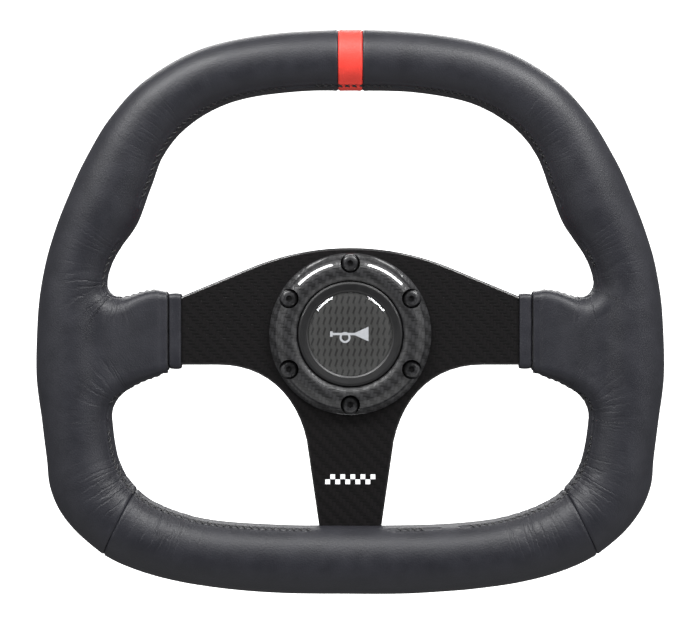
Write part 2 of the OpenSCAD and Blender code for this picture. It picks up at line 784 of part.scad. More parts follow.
// Two spade terminals through the housing's floor.
module horn_terminals() {
    color("gold") to_row() for (x = [-8, 8]) {
        translate([x - 3.15, -0.4, floor_u - 6.2]) cube([6.3, 0.8, 6.2 + floor_t]);
        translate([x - 3.6, -2, floor_u + floor_t]) cube([6.6, 4, 0.5]);
    }
}

// Three springs that lift the button.
module horn_springs() {
    color("silver") to_row() for (a = spring_angles) rotate([0, 0, a]) translate([20.4, 0, 0])
        coil(1.55, 0.25, floor_u + floor_t + 0.02, cap_u - 0.02, 5, 5, 12);
}

// Gloss black cap: bezel, seat for the dome, skirt and three snap hooks.
module button_cap() {
    hook_angle = 30;
    color("#141414") to_row() {
        rotate_extrude() polygon(concat(
            [[0, cap_u], [22.4, cap_u], [22.4, cap_u - 4.6], [23.6, cap_u - 4.6], [23.6, cap_u],
             [button_r - 0.3, cap_u], [button_r, cap_u + 0.3], [button_r, dome_u + 0.6]],
            [for (i = [0 : 4]) bezier([button_r, dome_u + 0.6], [button_r - 0.1, dome_u + 1.3],
                [button_r - 0.8, dome_u + 1.5], [button_r - 1.4, dome_u + 1.5], i / 4)],
            [[dome_r + 0.9, dome_u + 1.1], [dome_r + 0.1, dome_u + 0.7], [dome_r + 0.1, dome_u - 0.6],
             [0, dome_u - 0.6]]
        ));
        difference() {
            pipe(24.3, 23.5, cap_u - 4.6, wall_top - lip_h - 0.05);
            for (a = post_angles) rotate([0, 0, a + hook_angle / 2]) translate([0, 0, cap_u - 6])
                linear_extrude(6) polygon([[0, 0], [40, 0],
                    [40 * cos(60), 40 * sin(60)], [40 * cos(120 - hook_angle), 40 * sin(120 - hook_angle)]]);
        }
    }
}

// Brass plate under the cap that bridges the posts when the button is pressed.
module button_contact() {
    color("gold") to_row() pipe(18, 11, cap_u - 0.8, cap_u - fit_gap);
}

// Generic horn pictogram, grown by g.
module emblem_shape(g) {
    translate([-9 - g, -0.55 - g]) square([13 + 2 * g, 1.1 + 2 * g]);
    polygon([[2.2 - g, -0.55 - g], [9 + g, -3.6 - 2 * g], [9 + g, 3.6 + 2 * g], [2.2 - g, 0.55 + g]]);
    translate([-10 - g, -1.3 - g]) square([1.3 + 2 * g, 2.6 + 2 * g]);
    translate([-2.6, -1.7]) difference() {
        circle(r = 2.7 + g, $fn = 48);
        circle(r = 1.7 - g, $fn = 48);
    }
}

// Carbon disc under the dome, with a pocket for the emblem.
module button_insert() {
    color("#3c3c3c") to_row() difference() {
        drum(dome_r, dome_u - 0.55, dome_u - fit_gap);
        translate([0, 0, dome_u - 0.3]) linear_extrude(1) emblem_shape(0.03);
    }
}

// Metal horn pictogram, flush with the disc.
module button_emblem() {
    color("lightgray") to_row() translate([0, 0, dome_u - 0.28]) linear_extrude(0.25) emblem_shape(0);
}

// Clear cast dome.
module button_dome() {
    sphere_r = (dome_r * dome_r + dome_h * dome_h) / (2 * dome_h);
    top_angle = asin(dome_r / sphere_r);
    color([0.8, 0.85, 0.9, 0.4]) to_row() rotate_extrude() polygon(concat(
        [[0, dome_u]],
        [for (i = [0 : 16]) let (a = top_angle * (1 - i / 16))
            [sphere_r * sin(a), dome_u + dome_h - sphere_r + sphere_r * cos(a)]]
    ));
}

hub_spigot();
drive_keys();
contact_disc();
contact_rings();
release_body();
lock_balls();
collar_circlip();
collar_spring();
release_collar();
pin_carrier();
contact_pins();
spoke_core();
spoke_skin_front();
spoke_skin_back();
spoke_decal();
rim_armature();
tongue_rivets();
rim_foam();
leather_left();
leather_right();
leather_bottom();
centre_mark();
seam_thread();
boot_band_left();
boot_band_right();
horn_ring();
ring_bolts();
horn_housing();
horn_fixed_contact();
horn_terminals();
horn_springs();
button_cap();
button_contact();
button_insert();
button_emblem();
button_dome();
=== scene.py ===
# Quick release steering wheel: flat-bottomed sports wheel with carbon spokes, a leather rim and
# a horn button, on a ball-lock quick release. The sections follow the way it is put together.
# Sizes are in millimetres, as [x, up, u], where u is the distance from the column's face.
import math

import bmesh
import bpy
import numpy as np
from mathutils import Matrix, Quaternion, Vector, noise
from mathutils.kdtree import KDTree


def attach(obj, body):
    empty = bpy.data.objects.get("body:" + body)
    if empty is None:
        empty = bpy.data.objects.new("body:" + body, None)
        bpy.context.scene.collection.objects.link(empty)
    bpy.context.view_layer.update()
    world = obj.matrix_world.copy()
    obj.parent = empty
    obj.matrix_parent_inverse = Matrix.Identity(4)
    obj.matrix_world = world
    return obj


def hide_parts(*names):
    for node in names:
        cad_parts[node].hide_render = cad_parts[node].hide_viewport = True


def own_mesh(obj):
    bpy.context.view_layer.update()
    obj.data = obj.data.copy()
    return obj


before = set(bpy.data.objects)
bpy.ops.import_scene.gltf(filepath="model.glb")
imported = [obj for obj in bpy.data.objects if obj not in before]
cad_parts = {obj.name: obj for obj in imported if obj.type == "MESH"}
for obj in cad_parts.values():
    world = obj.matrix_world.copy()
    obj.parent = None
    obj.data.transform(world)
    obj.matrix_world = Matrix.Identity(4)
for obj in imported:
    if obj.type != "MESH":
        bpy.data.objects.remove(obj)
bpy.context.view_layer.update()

MM = 0.001


# ---- Studio -------------------------------------------------------------------------------
# A camera square to the wheel, a white sheet that hangs behind it and runs out along the
# floor, a softbox over each of the driver's shoulders and one behind, and low fill light.
def place(name, data, location, target=None, roll=0):
    """Puts a camera, lamp or mesh in the scene, turned towards a target if there is one."""
    thing = bpy.data.objects.new(name, data)
    thing.location = location
    if target is not None:
        aim = (Vector(target) - Vector(location)).to_track_quat("-Z", "Y")
        thing.rotation_euler = (aim @ Quaternion((0, 0, 1), math.radians(roll))).to_euler()
    bpy.context.scene.collection.objects.link(thing)
    return thing


CAMERA_AT = (-0.15 * MM, -0.95, 9.9 * MM)
lens = bpy.data.cameras.new("camera")
lens.lens = 92.95
lens.clip_end = 20
camera = place("camera", lens, CAMERA_AT)
camera.rotation_euler = (math.radians(90), 0, 0)
bpy.context.scene.camera = camera
bpy.context.scene.view_settings.view_transform = "Standard"

# Each lamp: its place, its size, its watts, how far it leans, and whether it shows in gloss.
LIT_SPOT = (0, -0.05, 0)
for name, spot, size, power, roll, mirrored in [
    ("left_softbox", (-0.5, -0.63, 0.88), (0.6, 0.2), 13, 30, True),
    ("right_softbox", (0.5, -0.63, 0.88), (0.6, 0.2), 13, -30, True),
    ("left_strip", (-0.5, -1.0, 0.45), (0.55, 0.03), 1.3, 48, True),
    ("right_strip", (0.5, -1.0, 0.45), (0.55, 0.03), 1.3, -48, True),
    ("back_softbox", (0, 1.1, 0.95), (1.5, 0.6), 16, 0, True),
    ("left_fill", (-1.2, -0.9, -0.1), (0.5, 0.9), 9, 0, False),
    ("right_fill", (1.2, -0.9, -0.1), (0.5, 0.9), 13, 0, False),
]:
    lamp = bpy.data.lights.new(name, "AREA")
    lamp.shape = "RECTANGLE"
    lamp.size = size[0]
    lamp.size_y = size[1]
    lamp.energy = power
    place(name, lamp, spot, LIT_SPOT, roll).visible_glossy = mirrored


class Wire:
    """The output of a shader node. Sums of wires and numbers add the Math nodes they need."""

    def __init__(self, tree, socket=None):
        self.tree = tree
        self.socket = socket

    def node(self, kind, settings=None, sockets=None, out=0):
        """Adds a shader node with its settings first, then the values or wires of its sockets."""
        made = self.tree.nodes.new("ShaderNode" + kind)
        for key, value in (settings or {}).items():
            if key == "stops":
                while len(made.color_ramp.elements) < len(value):
                    made.color_ramp.elements.new(0.5)
                for element, (spot, colour) in zip(made.color_ramp.elements, value):
                    element.position = spot
                    element.color = (*colour, 1)
            else:
                setattr(made, key, value)
        for key, value in (sockets or {}).items():
            self.feed(made.inputs[key], value)
        return Wire(self.tree, made.outputs[out])

    def feed(self, target, value):
        """Gives a socket a wire, a colour, a vector or a number."""
        if isinstance(value, Wire):
            self.tree.links.new(value.socket, target)
        elif hasattr(value, "__len__") and len(value) == 3 and target.type == "RGBA":
            target.default_value = (*value, 1)
        else:
            target.default_value = value

    def maths(self, operation, *others, clamp=False):
        """A Math node on this wire and the others."""
        settings = {"operation": operation, "use_clamp": clamp}
        return self.node("Math", settings, dict(enumerate((self, *others))))

    def __add__(self, other):
        return self.maths("ADD", other)

    def __radd__(self, other):
        return self.maths("ADD", other)

    def __sub__(self, other):
        return self.maths("SUBTRACT", other)

    def __rsub__(self, other):
        return (self * -1).maths("ADD", other)

    def __mul__(self, other):
        return self.maths("MULTIPLY", other)

    def __rmul__(self, other):
        return self.maths("MULTIPLY", other)

    def __truediv__(self, other):
        return self.maths("DIVIDE", other)

    def __pow__(self, other):
        return self.maths("POWER", other)

    def band(self, low, high):
        """0 below low, 1 above high, smooth between."""
        settings = {"interpolation_type": "SMOOTHSTEP"}
        return self.node("MapRange", settings, {"Value": self, "From Min": low, "From Max": high})

    def blend(self, low, high):
        """Mixes two colours, low where this wire is 0 and high where it is 1."""
        sockets = {0: self, 6: low, 7: high}
        return self.node("Mix", {"data_type": "RGBA"}, sockets, out=2)

    def stretch(self, x, y, z):
        """Scales a vector."""
        return self.node("VectorMath", {"operation": "MULTIPLY"}, {0: self, 1: (x, y, z)})

    def part(self, which):
        """One number of this vector: 0, 1 or 2."""
        return self.node("SeparateXYZ", sockets={0: self}, out=which)

    def noise(self, scale, detail=3, rough=0.5, twist=0):
        """Noise from 0 to 1 over this vector."""
        sockets = {"Vector": self, "Scale": scale, "Detail": detail}
        sockets.update({"Roughness": rough, "Distortion": twist})
        return self.node("TexNoise", {}, sockets)

    def cells(self, scale):
        """Distance to the nearest of scattered points over this vector."""
        return self.node("TexVoronoi", {}, {"Vector": self, "Scale": scale})


class Finish:
    """A material with one Principled shader. Fixed values go on the shader's own sockets."""

    def __init__(self, name, **fixed):
        self.material = bpy.data.materials.new(name)
        self.material.use_nodes = True
        self.tree = self.material.node_tree
        self.shader = self.tree.nodes["Principled BSDF"]
        self.start = Wire(self.tree)
        # Millimetres in the object's own frame.
        self.place = self.start.node("TexCoord", out=3).stretch(1000, 1000, 1000)
        self.set(**fixed)

    def set(self, **sockets):
        """Feeds the shader's sockets, named in lower case with underscores."""
        for key, value in sockets.items():
            label = key.replace("_", " ").title().replace("Ior", "IOR")
            self.start.feed(self.shader.inputs[label], value)
        return self

    def bump(self, height, depth):
        """Height from 0 to 1, standing depth millimetres proud."""
        sockets = {"Height": height, "Strength": 1.0, "Distance": depth * MM}
        self.set(normal=self.start.node("Bump", {}, sockets))
        return self

    def attribute(self, name, out=1):
        """What the mesh holds at each point: a vector, or a number where out is 2."""
        return self.start.node("Attribute", {"attribute_name": name}, out=out)

    def paint(self, *things):
        """Puts the finish on pieces, or on CAD nodes given by name."""
        for thing in things:
            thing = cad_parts[thing] if isinstance(thing, str) else thing
            if not thing.material_slots:
                thing.data.materials.append(self.material)
            for place_for_it in thing.material_slots:
                place_for_it.material = self.material
        return self


FLOOR_Z = -0.55
WALL_Y = 1.6
CORNER = 0.5
sheet_line = [(-3.5, FLOOR_Z), (WALL_Y - CORNER, FLOOR_Z)]
for step in range(1, 13):
    turn = math.radians(90 * step / 12)
    along, up = CORNER * math.sin(turn), CORNER * (1 - math.cos(turn))
    sheet_line.append((WALL_Y - CORNER + along, FLOOR_Z + up))
sheet_line.append((WALL_Y, 3.0))
sheet_mesh = bpy.data.meshes.new("studio_sheet")
sheet_mesh.from_pydata(
    [(x, y, z) for y, z in sheet_line for x in (-3.5, 3.5)],
    [],
    [(2 * i, 2 * i + 1, 2 * i + 3, 2 * i + 2) for i in range(len(sheet_line) - 1)],
)
studio_sheet = place("studio_sheet", sheet_mesh, (0, 0, 0))
studio_sheet.visible_glossy = False
studio_sheet.visible_diffuse = False
paper = Finish("studio_paper", roughness=0.9, base_color=(0.85, 0.85, 0.85))
wall_glow = paper.place.part(2).band(-560, -330)
paper.set(emission_color=wall_glow.blend((0.25, 0.25, 0.25), (1, 1, 1)), emission_strength=1.0)
paper.paint(studio_sheet)

# A dim room: even light from the sides and the floor, more from the right, less from behind,
# and dark where the camera stands.
sky = bpy.data.worlds.new("studio_air")
sky.use_nodes = True
bpy.context.scene.world = sky
air = Wire(sky.node_tree)
sideways, away, height = [air.node("TexCoord").part(i) for i in range(3)]
room = away.band(-0.97, -0.7) * (1 - away.band(-0.1, 0.4) * 0.6)
floor_glow = (1 - height.band(-0.95, -0.2)) * 0.55
room = room * (height.band(-0.6, 1.0) * 0.6 + floor_glow + sideways.band(0.2, 0.9) * 0.15 + 0.4)
air.feed(sky.node_tree.nodes["Background"].inputs["Color"], room * 0.66 + 0.02)


# ---- Column flange and spigot -------------------------------------------------------------
# The part that bolts to the column: turned aluminium, bead-blasted and hard anodised. Three
# ground steel keys are pressed into its root.
def turned_metal(name, colour, roughness, ring_depth, **fixed):
    """Metal turned on a lathe about the hub's axis: fine rings, and faint handling marks."""
    finish = Finish(name, metallic=1.0, **fixed)
    x, y, z = [finish.place.part(i) for i in range(3)]
    radius = (x * x + z * z) ** 0.5
    rings = finish.start.node("CombineXYZ", sockets={0: radius, 1: y})
    marks = rings.stretch(6, 6, 1).noise(1.0, 4, 0.7)
    smears = finish.place.noise(0.12, 4, 0.6)
    finish.set(roughness=roughness + (marks - 0.5) * 0.18 + (smears - 0.5) * 0.2)
    darker = tuple(c * 0.72 for c in colour)
    finish.set(base_color=smears.band(0.3, 0.7).blend(darker, colour))
    return finish.bump(marks, ring_depth)


turned_metal("anodised_grey", (0.16, 0.165, 0.18), 0.42, 0.012).paint("hub_spigot")
turned_metal("ground_steel", (0.55, 0.56, 0.58), 0.28, 0.006).paint("drive_keys")


# ---- Contact disc -------------------------------------------------------------------------
# Glass-filled nylon disc in the spigot's mouth with two brass tracks for the horn circuit.
def moulded_plastic(name, colour, roughness, grain, depth):
    """Moulded plastic: a fine spark-eroded grain and slight flow marks."""
    finish = Finish(name)
    sparks = finish.place.cells(grain)
    flow = finish.place.noise(0.08, 3, 0.6, 1.5)
    finish.set(roughness=roughness + (flow - 0.5) * 0.2)
    finish.set(base_color=flow.band(0.3, 0.7).blend(tuple(c * 0.75 for c in colour), colour))
    return finish.bump(sparks, depth)


contact_nylon = moulded_plastic("contact_nylon", (0.022, 0.022, 0.025), 0.5, 2.2, 0.03)
contact_nylon.paint("contact_disc", "pin_carrier")


def stamped_brass(name, colour, roughness):
    """Rolled brass strip: long rolling marks and a little tarnish."""
    finish = Finish(name, metallic=1.0)
    rolled = finish.place.stretch(0.3, 6, 6).noise(1.0, 4, 0.6)
    tarnish = finish.place.noise(0.3, 4, 0.65)
    finish.set(roughness=roughness + (rolled - 0.5) * 0.25)
    dull = (colour[0] * 0.6, colour[1] * 0.5, colour[2] * 0.4)
    finish.set(base_color=tarnish.band(0.35, 0.75).blend(colour, dull))
    return finish.bump(rolled, 0.01)


stamped_brass("contact_brass", (0.8, 0.58, 0.25), 0.25).paint(
    "contact_rings", "contact_pins", "horn_fixed_contact", "horn_terminals", "button_contact"
)


# ---- Quick release on the wheel -----------------------------------------------------------
# Clear-anodised aluminium sleeve and flange, chromed balls, a red anodised collar with
# finger scallops, its drawn-wire spring, and a blued retaining ring.
turned_metal("clear_anodised", (0.68, 0.69, 0.7), 0.3, 0.01).paint("release_body")
turned_metal("red_anodised", (0.5, 0.018, 0.02), 0.3, 0.012, coat_weight=0.3).paint("release_collar")
turned_metal("ball_chrome", (0.85, 0.85, 0.87), 0.08, 0.001).paint("lock_balls")
turned_metal("blued_steel", (0.1, 0.1, 0.115), 0.3, 0.005).paint("collar_circlip")
drawn_wire = turned_metal("spring_wire", (0.42, 0.42, 0.43), 0.3, 0.005)


def coil(node, name):
    """A spring's own copy in drawn wire, carried by the wheel in place of its CAD node."""
    turns = place(name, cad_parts[node].data.copy(), (0, 0, 0))
    drawn_wire.paint(turns)
    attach(turns, "wheel")
    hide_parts(node)
    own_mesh(turns)


coil("collar_spring", "collar_coil")


# ---- Carbon spokes ------------------------------------------------------------------------
# Two skins of 2x2 twill carbon under a deep clear coat, bonded to an aluminium plate. The
# outer edges are rounded over and polished.
def carbon_cloth(name, tow, across, dark, light, depth, **fixed):
    """2x2 twill of flat tows tow mm wide over two axes, with a painted sheen on the tows that lie on top
    and on the crown of each tow.
    """
    finish = Finish(name, **fixed)
    wander = finish.place.noise(0.15, 2)
    warp_at, weft_at = [finish.place.part(i) / tow + wander * 0.5 for i in across]
    warp_row = warp_at.maths("FLOOR")
    weft_row = weft_at.maths("FLOOR")
    # Which tow is on top repeats every four, one step further along on each row.
    on_top = (weft_row + warp_row).maths("FLOORED_MODULO", 4).maths("LESS_THAN", 1.5)
    warp_crown = (((warp_at - warp_row) - 0.5) * math.pi).maths("COSINE")
    weft_crown = (((weft_at - weft_row) - 0.5) * math.pi).maths("COSINE")
    crown = on_top * warp_crown + (1 - on_top) * weft_crown
    warp_fibre, weft_fibre = [
        finish.place.stretch(*[9 if i == one else 0.5 for i in range(3)]).noise(1, 2) for one in across
    ]
    fibre = on_top * warp_fibre + (1 - on_top) * weft_fibre
    # Painted sheen: the tows that lie on top and the crown of each tow are painted lighter, for how the
    # fibres catch the light; the streaks along the fibres vary at random.
    sheen_and_streaks = (on_top * 0.5 + crown * 0.35 + (fibre - 0.5) * 0.9 + 0.1).maths("MAXIMUM", 0, clamp=True)
    finish.set(base_color=sheen_and_streaks.blend(dark, light))
    finish.set(roughness=0.5 - sheen_and_streaks * 0.22)
    return finish.bump(crown * 0.8 + fibre * 0.25, depth)


spoke_carbon = carbon_cloth(
    "spoke_carbon", 1.7, (0, 2), (0.0006, 0.0006, 0.0006), (0.0085, 0.0078, 0.0082), 0.07,
    coat_weight=1.0, coat_roughness=0.03, coat_ior=1.5, specular_ior_level=0.22,
)
# Each skin is its own solid with its outer edges rolled over; those under the ring stay square.
HUB_COVER_R = 41.0
EDGE_ROLLS = [("spoke_skin_front", "carbon_front", 1.1), ("spoke_skin_back", "carbon_back", 0.7)]
for skin, name, width in EDGE_ROLLS:
    plate = bmesh.new()
    plate.from_mesh(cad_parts[skin].data)
    bmesh.ops.remove_doubles(plate, verts=plate.verts, dist=0.01 * MM)
    bmesh.ops.dissolve_limit(plate, angle_limit=math.radians(1), verts=plate.verts, edges=plate.edges)
    flat_faces = {f for f in plate.faces if abs(f.normal.y) > 0.99}
    outer = [
        e for e in plate.edges
        if len(e.link_faces) == 2 and len(flat_faces & set(e.link_faces)) == 1
        and min(math.hypot(v.co.x, v.co.z) for v in e.verts) > HUB_COVER_R * MM
    ]
    bmesh.ops.bevel(
        plate, geom=outer, offset=width * MM, segments=4, profile=0.5, affect="EDGES",
        clamp_overlap=False, loop_slide=False,
    )
    for face in plate.faces:
        face.smooth = abs(face.normal.y) < 0.999
    bmesh.ops.triangulate(plate, faces=[f for f in plate.faces if len(f.verts) > 4])
    plate_mesh = bpy.data.meshes.new(name)
    plate.to_mesh(plate_mesh)
    plate.free()
    cloth = place(name, plate_mesh, (0, 0, 0))
    spoke_carbon.paint(cloth)
    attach(cloth, "wheel")
    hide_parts(skin)
turned_metal("plate_aluminium", (0.6, 0.6, 0.62), 0.35, 0.01).paint("spoke_core")


# A small chequered strip, screen-printed in white on the lower spoke.
def printed_ink(name, colour):
    """Screen ink: slightly thin where the mesh of the screen has left its marks."""
    finish = Finish(name)
    screen = finish.place.noise(3.0, 3, 0.6)
    finish.set(base_color=screen.band(0.2, 0.6).blend(tuple(c * 0.85 for c in colour), colour))
    finish.set(roughness=0.35 + screen * 0.2)
    return finish.bump(screen, 0.01)


printed_ink("white_ink", (0.82, 0.82, 0.84)).paint("spoke_decal")


# ---- Rim core -----------------------------------------------------------------------------
# A steel ring with welded forks and rivets, with polyurethane foam moulded round it. All of
# it is under the leather.
turned_metal("ring_steel", (0.3, 0.3, 0.31), 0.5, 0.02).paint("rim_armature", "tongue_rivets")
moulded_plastic("rim_foam_skin", (0.04, 0.04, 0.042), 0.8, 0.9, 0.15).paint("rim_foam")


# ---- Leather ------------------------------------------------------------------------------
# Smooth black hide, wet-formed over the foam in three panels with a sleeve over each side
# spoke, and a narrow red strip at top centre. The edges meet along the windows' sides.
RIM_U = 50.0
PLATE_U = (45.0, 51.0)
BOOT_X = 84.0
BOOT_END = BOOT_X + 6.4

# Right half of the rim from top centre to bottom centre: a point on the outer edge and the
# point on the inner edge across from it.
right_half = [
    (0, 151.3, 0, 121.2), (38, 149.4, 32, 120.2), (74, 142, 60, 115), (101, 127, 80.5, 103.5),
    (119, 108, 92.6, 89.4), (131.5, 87.5, 99.3, 72.5), (140.5, 68, 106, 55), (147.5, 49.5, 116.3, 39.5),
    (152, 33, 120.8, 27), (155.3, 10, 121.5, 9), (156, -20, 120.5, -18), (153.2, -44, 118.6, -42),
    (151, -62, 117, -55), (149.4, -76, 114, -65.5), (143.5, -89.5, 107.5, -75.8), (132, -102.3, 98.5, -83),
    (114, -114.4, 84, -89), (84, -123.6, 66, -93), (44, -128.4, 34, -95.1), (0, -129.4, 0, -95.4),
]
left_half = [(-ox, oz, -ix, iz) for ox, oz, ix, iz in right_half[-2:0:-1]]
outline = np.array(right_half + left_half, float)
SPAN_STEPS = 60


def closed_spline(points, steps):
    """Catmull-Rom curve through a closed list of points."""
    before, after, next_one = (np.roll(points, k, axis=0) for k in (1, -1, -2))
    t = (np.arange(steps) / steps)[None, :, None]
    a, b, c, d = (p[:, None, :] for p in (before, points, after, next_one))
    curve = 2 * b + (c - a) * t + (2 * a - 5 * b + 4 * c - d) * t**2 + (3 * b - a - 3 * c + d) * t**3
    return 0.5 * curve.reshape(-1, points.shape[1])


edges = closed_spline(outline, SPAN_STEPS)
rim_mid = (edges[:, :2] + edges[:, 2:]) / 2
rim_half_w = np.linalg.norm(edges[:, :2] - edges[:, 2:], axis=1) / 2
rim_dir = (edges[:, :2] - edges[:, 2:]) / (2 * rim_half_w[:, None])
rim_half_d = 6 + 0.56 * rim_half_w
mid_step = np.linalg.norm(np.roll(rim_mid, -1, axis=0) - rim_mid, axis=1)
rim_length = np.concatenate([[0], np.cumsum(mid_step)])[:-1]
rim_count = len(edges)
mid_tree = KDTree(rim_count)
for i, spot in enumerate(rim_mid):
    mid_tree.insert((spot[0], spot[1], 0), i)
mid_tree.balance()


def along_rim(points):
    """For points [x, up, u]: station, length along the rim, distance across it, half sizes."""
    low = np.array([mid_tree.find((p[0], p[1], 0))[1] for p in points])

    def side_of(i):
        arm = points[:, :2] - rim_mid[i % rim_count]
        return arm[:, 0] * rim_dir[i % rim_count, 1] - arm[:, 1] * rim_dir[i % rim_count, 0]

    # The sections aren't square to the middle line, so the right one takes a few steps to find.
    for _ in range(7):
        here, gap = side_of(low), side_of(low + 1) - side_of(low)
        gap[np.abs(gap) < 1e-6] = 1e-6
        station = low + np.clip(-here / gap, -12, 12)
        low = np.floor(station).astype(int)
    share = (station - low)[:, None]
    low %= rim_count
    high = (low + 1) % rim_count
    mid = rim_mid[low] * (1 - share) + rim_mid[high] * share
    way = rim_dir[low] * (1 - share) + rim_dir[high] * share
    half_w = rim_half_w[low] * (1 - share[:, 0]) + rim_half_w[high] * share[:, 0]
    half_d = rim_half_d[low] * (1 - share[:, 0]) + rim_half_d[high] * share[:, 0]
    across = np.sum((points[:, :2] - mid) * way, axis=1)
    length = rim_length[low] + share[:, 0] * mid_step[low]
    return station % rim_count, length, across, half_w, half_d


# Sleeve over a side spoke: distance from the hub, upper edge, lower edge, thickness.
boot_cuts = np.array([
    (BOOT_X, 20.3, -18.3, 9.6), (BOOT_X + 6, 20.6, -18.7, 9.8), (BOOT_X + 12.5, 22, -21, 11),
    (BOOT_X + 20, 20.9, -23.6, 13.4), (BOOT_X + 27, 18.2, -27.5, 17), (BOOT_X + 33, 17.6, -32, 20.2),
    (BOOT_X + 39, 19, -37, 20.5), (BOOT_X + 45, 21, -42, 11), (BOOT_X + 52, 22, -46, 4),
])
TABLE_STEP = 0.25
BELL_HALF = 24
BELL_WIDTH = 2.2
boot_x_table = np.arange(BOOT_X, BOOT_X + 52, TABLE_STEP)
bell = np.exp(-0.5 * (np.arange(-BELL_HALF, BELL_HALF + 1) * TABLE_STEP / BELL_WIDTH) ** 2)
bell /= bell.sum()
boot_table = []
for k in (1, 2, 3):
    straight = np.interp(boot_x_table, boot_cuts[:, 0], boot_cuts[:, k])
    boot_table.append(np.convolve(np.pad(straight, BELL_HALF, "edge"), bell, "valid"))


def sleeve_at(reach):
    """The sleeve's upper and lower edges, thickness and middle, that far from the hub."""
    top, low, thick = (np.interp(reach, boot_x_table, table) for table in boot_table)
    return top, low, thick, np.interp(reach, (BOOT_X, BOOT_X + 40), (sum(PLATE_U) / 2, RIM_U))


FILLET = 9.0


def rim_field(points):
    """Below 0 inside the leather's outer surface and above 0 outside it."""
    _, _, across, half_w, half_d = along_rim(points)
    lift = points[:, 2] - RIM_U
    ring = (np.sqrt((across / half_w) ** 2 + (lift / half_d) ** 2) - 1) * np.minimum(half_w, half_d)
    reach = np.abs(points[:, 0])
    top, low, thick, middle_u = sleeve_at(reach)
    rounding = thick * (0.34 + 0.14 * np.clip((reach - BOOT_X) / 30, 0, 1))
    out_z = np.abs(points[:, 1] - (top + low) / 2) - ((top - low) / 2 - rounding)
    out_u = np.abs(points[:, 2] - middle_u) - (thick / 2 - rounding)
    sleeve = np.hypot(np.maximum(out_z, 0), np.maximum(out_u, 0)) + np.minimum(np.maximum(out_z, out_u), 0)
    sleeve = np.maximum(sleeve - rounding, BOOT_END - reach)
    sleeve = np.maximum(sleeve, reach - (BOOT_X + 50))
    share = np.clip(0.5 + 0.5 * (sleeve - ring) / FILLET, 0, 1)
    return sleeve * (1 - share) + ring * share - FILLET * share * (1 - share)


def to_space(points):
    """[x, up, u] in millimetres to Blender's metres."""
    return np.stack([points[:, 0], -points[:, 2], points[:, 1]], axis=1) * MM


def from_space(points):
    """Blender's metres to [x, up, u] in millimetres."""
    return np.stack([points[:, 0], points[:, 2], -points[:, 1]], axis=1) / MM


def read_points(mesh, normals=False):
    """A mesh's points, or its normals there, as an array."""
    flat = np.empty(3 * len(mesh.vertices))
    if normals:
        mesh.vertex_normals.foreach_get("vector", flat)
    else:
        mesh.vertices.foreach_get("co", flat)
    return flat.reshape(-1, 3)


def write_points(mesh, points):
    mesh.vertices.foreach_set("co", points.ravel())
    mesh.update()


def settle(mesh, rounds):
    """Moves a mesh's points along their normals until they lie on the leather's surface."""
    for _ in range(rounds):
        spots = from_space(read_points(mesh))
        way = from_space(read_points(mesh, normals=True)) * MM
        value = rim_field(spots)
        slope = (rim_field(spots + 0.05 * way) - value) / 0.05
        step = np.clip(-value / np.maximum(slope, 0.3), -1.5, 1.5)
        write_points(mesh, to_space(spots + step[:, None] * way))


def evaluated(thing):
    """A thing's mesh with its modifiers applied."""
    return bpy.data.meshes.new_from_object(thing.evaluated_get(bpy.context.evaluated_depsgraph_get()))


# Rough shape: the rim's tube and two blocks for the sleeves, joined by a voxel remesh.
TUBE_SIDES = 24
ring_picks = np.arange(0, rim_count, SPAN_STEPS // 6)
turns = np.linspace(0, 2 * np.pi, TUBE_SIDES, endpoint=False)
tube_across = rim_half_w[ring_picks][:, None, None] * np.cos(turns)[None, :, None]
tube_flat = rim_mid[ring_picks][:, None, :] - rim_dir[ring_picks][:, None, :] * tube_across
tube_u = RIM_U + rim_half_d[ring_picks][:, None] * np.sin(turns)[None, :]
tube = np.concatenate([tube_flat, tube_u[:, :, None]], axis=2).reshape(-1, 3)
rough = bmesh.new()
tube_points = [rough.verts.new(p) for p in to_space(tube)]
rings = len(ring_picks)
for i in range(rings):
    for j in range(TUBE_SIDES):
        a, b = i * TUBE_SIDES, (i + 1) % rings * TUBE_SIDES
        k = (j + 1) % TUBE_SIDES
        rough.faces.new([tube_points[a + j], tube_points[a + k], tube_points[b + k], tube_points[b + j]])
for side in (-1, 1):
    cuts = []
    for reach in np.linspace(BOOT_END, BOOT_X + 46, 12):
        top, low, thick, middle = sleeve_at(reach)
        box = [(top - 4, -1), (top - 4, 1), (low + 4, 1), (low + 4, -1)]
        spots = np.array([(side * reach, z, middle + s * thick * 0.36) for z, s in box])
        cuts.append([rough.verts.new(p) for p in to_space(spots)])
    for one, two in zip(cuts, cuts[1:]):
        for j in range(4):
            rough.faces.new([one[j], one[(j + 1) % 4], two[(j + 1) % 4], two[j]])
    rough.faces.new(cuts[0])
    rough.faces.new(cuts[-1])
bmesh.ops.recalc_face_normals(rough, faces=rough.faces)
rough_mesh = bpy.data.meshes.new("rim_rough")
rough.to_mesh(rough_mesh)
rough.free()
rim_rough = place("rim_rough", rough_mesh, (0, 0, 0))
remesh = rim_rough.modifiers.new("remesh", "REMESH")
remesh.mode = "VOXEL"
remesh.voxel_size = 2.0 * MM
hide = evaluated(rim_rough)
bpy.data.objects.remove(rim_rough)
for _ in range(3):
    work = bmesh.new()
    work.from_mesh(hide)
    bmesh.ops.smooth_vert(
        work, verts=work.verts, factor=0.5, use_axis_x=True, use_axis_y=True, use_axis_z=True
    )
    work.to_mesh(hide)
    work.free()
    settle(hide, 2)
smooth_rim = place("smooth_rim", hide, (0, 0, 0))
finer = smooth_rim.modifiers.new("finer", "SUBSURF")
finer.levels = 1
finer.render_levels = 1
hide = evaluated(smooth_rim)
bpy.data.objects.remove(smooth_rim)
settle(hide, 1)


